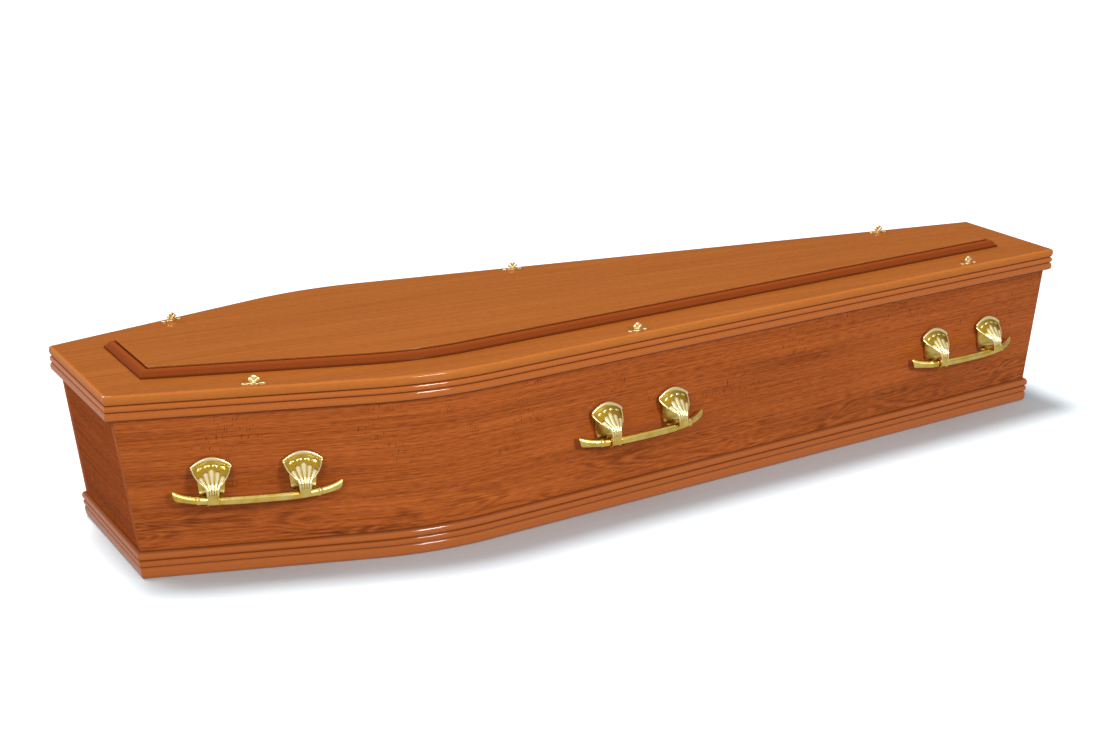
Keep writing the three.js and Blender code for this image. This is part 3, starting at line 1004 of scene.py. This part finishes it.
# The bar starts as a straight rod, pulled out of a circle ring by ring, with a small ring before
# each flared tip; then its rings are carried out to the bow and turned square to it
def makeBar():
    half = handle["length"] / 2
    ringAt = handle["ringAt"]
    stations = [(-half, 1), (-half + 0.6, 1.06), (-half + 5, 1.06), (-122, 1), (-112, 1), (-104, 1),
                (-ringAt - 4, 1), (-ringAt - 2.6, 1.16), (-ringAt + 0.4, 1.16), (-ringAt + 1.8, 1)]
    stations += [(x, 1) for x in range(-86, 0, 10)]
    stations += [(-x, swell) for x, swell in reversed(stations)]

    def flareAt(x):
        return max(0.0, (abs(x) - ringAt) / (half - ringAt))

    def section(x):
        flare = flareAt(x)
        return (
            handle["thick"] - handle["tipThinner"] * flare,
            handle["tall"] + handle["tipTaller"] * flare ** 3,
        )

    deselectAll()
    bpy.ops.mesh.primitive_circle_add(
        vertices=handle["corners"], radius=mm, fill_type="NGON",
        location=(-half * mm, 0, 0), rotation=(0, math.pi / 2, 0),
    )
    bar = justMade("bar")
    bpy.ops.object.transform_apply(location=True, rotation=True, scale=True)
    enterEditAll(bar)
    thick, tall = section(-half)
    bpy.ops.transform.resize(value=(1, thick, tall), center_override=(-half * mm, 0, 0))
    previous = (-half, thick, tall)
    for x, swell in stations[1:]:
        pullOut(((x - previous[0]) * mm, 0, 0))
        thick, tall = (size * swell for size in section(x))
        bpy.ops.transform.resize(
            value=(1, thick / previous[1], tall / previous[2]), center_override=(x * mm, 0, 0))
        previous = (x, thick, tall)
    leaveEdit()

    rings = {}
    for vertex in bar.data.vertices:
        rings.setdefault(round(vertex.co.x / mm, 2), []).append(vertex.index)
    for x, indices in rings.items():
        flare = flareAt(x)
        slope = 24 * x * abs(x) * (handle["tipOut"] - handle["middleOut"]) / handle["length"] ** 3
        rise = handle["barDrop"] + handle["bowLift"] * bowAt(x) + handle["flareLift"] * flare ** 3
        turn = -math.copysign(math.atan(handle["tipTurn"] * flare), x)
        pickVertices(bar, indices)
        # rotate turns the other way with no window
        for angle, axis in ((math.atan(slope), "Z"), (turn, "Y")):
            bpy.ops.transform.rotate(
                value=angle, orient_axis=axis, center_override=(x * mm, 0, 0))
        bpy.ops.transform.translate(value=(0, -barOut(x) * mm, rise * mm))
        leaveEdit()
    tidyNormals(bar)
    pickFaces(bar, lambda face: len(face.vertices) > 8)
    bpy.ops.mesh.inset(thickness=0.7 * mm)
    leaveEdit()
    applyModifier(bar, "SUBSURF", levels=2, render_levels=2)
    smooth(bar, 60)
    return bar


bracket = {
    "columns": 84,
    "rows": 96,
    "fanWall": 3.2,
    "armWall": 4.2,
    "ribs": (-2, -1, 0, 1, 2),
    "ribSpacing": 0.37,
    "ribTop": 48,
    "ribRise": 2.4,
    "ribWide": (1.6, 0.172),      # half a rib's least width, and its share of the fan's half width
    "ribRoot": (8, 9),            # it rises from this height, over this length
    "ribFall": (3.0, 1.3),        # how much lower the outer ribs end, and with which power
    "rimTall": 3.2,
    "rimRise": 2.9,
    "dashes": (-0.62, -0.21, 0.21, 0.62),
    "dashSize": (4.4, 1.5),
    "dashHeight": 51.6,
    "dashRise": 1.2,
    "edgeWide": 2.8,
    "edgeRise": 1.2,
    "dishFrom": 26,
    "dishTall": 34,
    "dishDeep": (2.0, 1.2),       # between the ribs, and under what is raised
    "highlightFrom": (1.3, 0.7),     # ribs, and other raised parts, get the full painted highlight from this relief up
    "paintedAbove": 9,
    "armColumns": 20,
    "armRows": 40,
    "collarSteps": 36,
    # along the bar and out from its axis
    "collarWall": ((-10, 7.3), (-10, 10.6), (-9.4, 11.2), (-8.3, 11), (-7.6, 9.8), (-6.4, 9.5)),
    "collarDrop": -1,
    "tipFrom": (11.3, 2.2),       # below the bar, and to either side
    "tipDrop": -1.8,
}


# Rows up the middle of the fan and of the arm, from the collar to the wall: how far out each
# stands, its height, its width and how far its edges sag
def fanRows(out):
    return [
        (out + 9.3, 0, 19, 0), (out + 9.0, 8, 19.5, 0), (out + 7.6, 16, 22, 0.3),
        (out + 4.6, 23, 27, 1.2), (out + 0.8, 29, 36, 3), (out - 4.6, 36, 46.5, 5.6),
        (out - 10.4, 43, 54.5, 8.4), (out - 16.6, 50, 61, 11.2), (7.2, 57, 65, 13.4),
        (5.2, 61, 65, 13.6), (4.2, 63.4, 64, 13.6),
    ]


def armRows(out):
    return [
        (out - 7.6, 0.5, 19, 0), (16, 0.8, 33, 0.8), (9.6, 4, 39, 1.6), (6.2, 12, 42, 2),
        (5.0, 27, 45, 2.6), (4.8, 42, 48, 3),
    ]


# where a run of rows stands at a share of its way up, and which way it rises there
def lineAt(rows, up):
    place = up * (len(rows) - 1)
    i = min(len(rows) - 2, int(place))
    rise = Vector((rows[i + 1][0] - rows[i][0], rows[i + 1][1] - rows[i][1])).normalized()
    return pointBetween(rows, i, place - i), rise


# how far the fan's face stands out at a place, and its painted shade, 1 in hollows, down to -1, a
# painted highlight
def fanRelief(rows, across, height, width):
    # five ribs with round tops, the middle ones reaching highest
    rib = 0.0
    (least, share), (root, grow), (fall, power) = (
        bracket["ribWide"], bracket["ribRoot"], bracket["ribFall"])
    halfRib = max(least, share * width / 2)
    rooted = min(1.0, max(0.0, (height - root) / grow))
    for k in bracket["ribs"]:
        beyond = max(0.0, height - bracket["ribTop"] + fall * abs(k) ** power + halfRib)
        away = math.hypot((across - k * bracket["ribSpacing"]) * width / 2, beyond) / halfRib
        rib = max(rib, bracket["ribRise"] * rooted * math.sqrt(max(0.0, 1 - away ** 2)))
    raised = 0.0
    # a thick rolled rim along the top
    tall = bracket["rimTall"]
    roll = (height - (rows[-1][1] - rows[0][1] - tall)) / tall
    if abs(roll) < 1:
        raised = bracket["rimRise"] * math.sqrt(1 - roll ** 2)
    # short raised dashes just under the rim
    for spot in bracket["dashes"]:
        dx = (across - spot) * width / 2 / bracket["dashSize"][0]
        dz = (height - bracket["dashHeight"]) / bracket["dashSize"][1]
        if math.hypot(dx, dz) < 1:
            raised = max(raised, bracket["dashRise"] * math.sqrt(1 - dx * dx - dz * dz))
    # a raised line along both edges
    inwards = (1 - abs(across)) * width / 2 / bracket["edgeWide"]
    if inwards < 1:
        raised = max(raised, bracket["edgeRise"] * math.sin(math.pi * inwards))
    # a shallow dish between the ribs' tips and the rim
    dish = min(1.0, max(0.0, (height - bracket["dishFrom"]) / bracket["dishTall"]))
    dish = max(0.0, math.sin(math.pi * dish)) * (1 - across ** 2)
    # painted shade where it is low, painted highlight where it stands up
    hollow = 0.0
    if height > bracket["paintedAbove"]:
        onRib, onRaised = bracket["highlightFrom"]
        hollow = 1 - 2 * min(1.0, max(rib / onRib, raised / onRaised))
    between, under = bracket["dishDeep"]
    return max(rib - between * dish, raised - under * dish), hollow


def fanPoint(rows, across, up):
    (out, z, width, sag), rise = lineAt(rows, up)
    relief = fanRelief(rows, across, z - rows[0][1], width)[0]
    return (across * width / 2, -(out + rise.y * relief), z - rise.x * relief - sag * across ** 2)


def fanHollow(rows, across, up):
    z, width = lineAt(rows, up)[0][1:3]
    return fanRelief(rows, across, z - rows[0][1], width)[1]


def armPoint(rows, across, up):
    out, z, width, sag = lineAt(rows, up)[0]
    return (across * width / 2, -out, z - sag * across ** 2)


# a bracket: the ribbed fan, the arm that curls back to the wall, and the collar round the bar
def makeBracket(x):
    out = barOut(x)
    rows, backRows = fanRows(out), armRows(out)
    fan = plateFrom(
        "fan", lambda across, up: fanPoint(rows, across, up),
        bracket["columns"], bracket["rows"], bracket["fanWall"],
        lambda across, up: fanHollow(rows, across, up),
    )
    arm = plateFrom(
        "arm", lambda across, up: armPoint(backRows, across, up),
        bracket["armColumns"], bracket["armRows"], bracket["armWall"],
    )

    # the collar's wall is drawn as a small closed outline, and turned round the bar's axis
    wall = list(bracket["collarWall"])
    wall += [(-a, r) for a, r in reversed(wall)]
    low = bracket["collarDrop"]
    collar = turnedPiece(
        "collar", [(a, -out, r + low) for a, r in wall],
        (0, -out, low), (1, 0, 0), bracket["collarSteps"],
    )
    # the two ridges end in small points below the bar
    below, beside = bracket["tipFrom"]
    pickVertices(collar, [
        vertex.index for vertex in collar.data.vertices
        if vertex.co.z < -below * mm and abs(vertex.co.y + out * mm) < beside * mm
    ])
    bpy.ops.transform.translate(value=(0, 0, bracket["tipDrop"] * mm))
    leaveEdit()
    for part in (fan, arm):
        tidyNormals(part)
    joinPieces(fan, arm, collar)
    fan.name = "bracket"
    smooth(fan, 50)
    return fan


# Copies of one fitting's parts at every place on both sides. A part is a kind, a piece, a letter
# and its own place; where is its inset, height and tilt.
def setFittings(parts, fromHeads, where, material):
    for hand, side in (("left", 1), ("right", -1)):
        for i, fromHead in enumerate(fromHeads):
            place = fittingPlace(fromHead, side, *where)
            for kind, part, letter, shift in parts:
                words = kind.split("_")
                name = words[0] + "".join(word.title() for word in words[1:])
                copy = copyOf(
                    part, f"{name}{hand.title()}{i + 1}{letter}",
                    place @ Matrix.Translation(Vector(shift) * mm))
                placePiece(copy, [f"{kind}_{hand}_{i + 1}{letter}"], material)
    for kind, part, letter, shift in parts:
        bpy.data.objects.remove(part)


def makeHandles():
    half, height = handle["spacing"] / 2, handle["height"]
    inset = wallAt(height)["side"] - handle["clear"]
    parts = (
        ("bar", makeBar(), "", (0, 0, 0)),
        ("bracket", makeBracket(-half), "a", (-half, 0, 0)),
        ("bracket", makeBracket(half), "b", (half, 0, 0)),
    )
    where = (inset, height, math.atan(plan["sideLean"]))
    setFittings(parts, handle["fromHead"], where, handleBrass)


makeHandles()
print("handles made")


# thumbscrews: a slim plate with round ends and necks, and a ribbed shell-shaped thumb piece

screw = {
    "fromHead": [233, 932, 1750],
    "inset": 16,
    "above": 0.3,
    "plateEdge": 0.9,
    "plateSteps": ((0.15, 0.35), (0.3, 0.3), (0.5, 0.2), (0.6, 0.05)),
    "stemUp": 2.1,
    "lobes": 5,
    "foot": 3.0,
    "shell": 6.0,
    "lobeReach": 0.9,
    "bladeUp": 2.4,
    "bladeThick": 2.3,
    "narrowFrom": 1.35,      # radians from its top
    "narrowOver": 0.6,
    "dent": 0.45,
    "stemSteps": 24,
    "segments": 80,
    "rings": 24,
}


def makeScrewPlate():
    quarter = smoothLine([
        (20, 0), (19.4, 2.2), (17.6, 3.8), (15.4, 4), (13, 3), (11.2, 2.3), (9.5, 2.3),
        (6.5, 3.8), (3.4, 5), (0, 5.4),
    ], 3)
    outline = quarter + [(-x, y) for x, y in reversed(quarter[:-1])]
    outline += [(x, -y) for x, y in reversed(outline[1:-1])]
    plate = outlineFace("screwPlate", [(x, y, 0) for x, y in outline])
    enterEditAll(plate)
    pullOut((0, 0, screw["plateEdge"] * mm))
    leaveEdit()
    tidyNormals(plate)
    pickFaces(plate, lambda face: face.normal.z > 0.9)
    for thickness, depth in screw["plateSteps"]:
        bpy.ops.mesh.inset(thickness=thickness * mm, depth=depth * mm, use_even_offset=True)
    leaveEdit()
    smooth(plate, 45)
    return plate


# The stem is a turned outline; the thumb piece is a flattened ball, scalloped round its top and
# fluted on both faces
def makeThumbscrew():
    profile = [(0, 0), (4.6, 0), (5, 0.4), (5, 1.0), (4.2, 1.6), (3.2, 2.0), (2.6, 2.6), (2.4, 3.6),
               (0, 3.6)]
    stem = turnedPiece(
        "thumbscrew", [(r, 0, z) for r, z in profile], (0, 0, 0), (0, 0, 1), screw["stemSteps"])

    deselectAll()
    bpy.ops.mesh.primitive_uv_sphere_add(
        segments=screw["segments"], ring_count=screw["rings"], radius=1,
        rotation=(math.pi / 2, 0, 0))
    blade = bpy.context.object
    bpy.ops.object.transform_apply(location=True, rotation=True, scale=True)
    layer = blade.data.attributes.new("hollow", "FLOAT", "POINT")
    for item, vertex in zip(layer.data, blade.data.vertices):
        x, y, z = vertex.co
        lean = abs(math.atan2(x, z))
        # half a disc with scallops round its top, narrowing to a foot below
        below = min(1.0, max(0.0, (lean - screw["narrowFrom"]) / screw["narrowOver"]))
        fan = 1 - below * below * (3 - 2 * below)
        flute = abs(math.cos(lean * screw["lobes"] / 2)) ** 0.8
        reach = screw["foot"] + (screw["shell"] + screw["lobeReach"] * flute) * fan
        dent = (1 - flute) * fan * min(1.0, math.hypot(x, z) * 1.6)
        thick = screw["bladeThick"] * math.copysign(abs(y) ** 0.7, y) * (1 - screw["dent"] * dent)
        # painted shade in the dents between the flutes, a painted highlight elsewhere
        item.value = 1.6 * dent - 0.6
        vertex.co = Vector((x * reach, thick, screw["bladeUp"] + z * reach)) * mm
    tidyNormals(blade)
    joinPieces(stem, blade)
    smooth(stem, 50)
    return stem


def makeScrews():
    parts = (
        ("screw_plate", makeScrewPlate(), "", (0, 0, 0)),
        ("thumbscrew", makeThumbscrew(), "", (0, 0, screw["stemUp"])),
    )
    where = (screw["inset"], lid["top"] + screw["above"])
    setFittings(parts, screw["fromHead"], where, screwBrass)


makeScrews()
print("screws made")


# studio: a pale floor, a sky that is white for the camera and grey in reflections, soft lights

studio = {
    "floor": "#e4edf2",
    "floorSize": 60,
    "floorDrop": 0.0005,
    "floorGlow": 0.04,
    "sky": ((0.0, "#e2e2e2"), (0.25, "#a8a8a8"), (0.65, "#e6e6e6"), (1.0, "#ffffff")),
    "skyLean": 0.9,              # the sky is dim past the foot end, and bright past the head end
    "skyFrom": (0.8, 1.12),
    "skyLight": (0.8, 0.24),
    "lampDistance": 4.5,
    "lampCentre": 0.2,
    # kind, azimuth, elevation, size in metres or a sun's in degrees, power, and what it lights
    "lights": {
        "keyLight": ("AREA", 9, 27, 0.8, 112, "offTheFloor"),
        "fillLight": ("AREA", -50, 24, 1.6, 54, "offTheFloor"),
        "overheadLight": ("SUN", -155, 66, 30, 1.9, "all"),
        "backLight": ("SUN", -147, 25, 8, 1.5, "offTheFloor"),
        "floorLight": ("SUN", -165, 74, 14, 1.9, "onlyTheFloor"),
    },
}


def makeFloor():
    deselectAll()
    bpy.ops.mesh.primitive_plane_add(
        size=studio["floorSize"], location=(0, 0, -studio["floorDrop"]))
    floor = justMade("floor")
    material, tree = newMaterial("paleFloor")
    shader = addNode(tree, "BsdfPrincipled", {
        "Base Color": colour(studio["floor"]), "Roughness": 0.9, "Specular IOR Level": 0.1,
        "Emission Color": colour(studio["floor"]), "Emission Strength": studio["floorGlow"],
    })
    addNode(tree, "OutputMaterial", {"Surface": shader})
    floor.data.materials.append(material)
    floor.visible_glossy = False    # the lacquer shows the dim room, not a white sheet
    floor.visible_diffuse = False
    return floor


def makeSky():
    world = bpy.data.worlds.new("studioSky")
    bpy.context.scene.world = world
    world.use_nodes = True
    sky = world.node_tree
    sky.nodes.clear()
    way = addNode(sky, "SeparateXYZ", {"Vector": addNode(sky, "TexCoord").outputs["Generated"]})
    shade = addNode(sky, "ValToRGB", {"Fac": way.outputs["Z"]}, studio["sky"])
    lean = addNode(sky, "Math MULTIPLY_ADD", {
        0: way.outputs["X"], 1: studio["skyLean"], 2: way.outputs["Y"],
    })
    (low, high), (bright, dim) = studio["skyFrom"], studio["skyLight"]
    behind = addNode(sky, "MapRange", {
        "Value": lean, "From Min": low, "From Max": high, "To Min": bright, "To Max": dim,
    })
    shade = addNode(sky, "MixRGB", {
        "Fac": 1.0, "Color1": shade, "Color2": behind,
    }, blend_type="MULTIPLY")
    mixed = addNode(sky, "MixRGB", {
        "Fac": addNode(sky, "LightPath").outputs["Is Camera Ray"],
        "Color1": shade, "Color2": colour("#ffffff"),
    })
    light = addNode(sky, "Background", {"Color": mixed, "Strength": 1.0})
    addNode(sky, "OutputWorld", {"Surface": light})


# the front lights are kept off the floor, so that the shadow beside the plinth stays
def makeLights(floor):
    groups = {"all": None}
    for name, state in (("offTheFloor", "EXCLUDE"), ("onlyTheFloor", "INCLUDE")):
        groups[name] = bpy.data.collections.new(name)
        groups[name].objects.link(floor)
        groups[name].collection_objects[0].light_linking.link_state = state

    for name, (kind, azimuth, elevation, size, power, group) in studio["lights"].items():
        deselectAll()
        bpy.ops.object.light_add(type=kind)
        light = justMade(name)
        turn = Euler((math.radians(90 - elevation), 0, math.radians(azimuth)))
        away = turn.to_matrix() @ Vector((0, 0, studio["lampDistance"]))
        light.location = away + Vector((0, 0, studio["lampCentre"]))
        light.rotation_euler = turn
        if kind == "AREA":
            light.data.shape = "SQUARE"
            light.data.size = size
        else:
            light.data.angle = math.radians(size)
        light.data.energy = power
        light.light_linking.receiver_collection = groups[group]


makeSky()
makeLights(makeFloor())
bpy.context.scene.view_settings.view_transform = "Standard"
print("studio set")
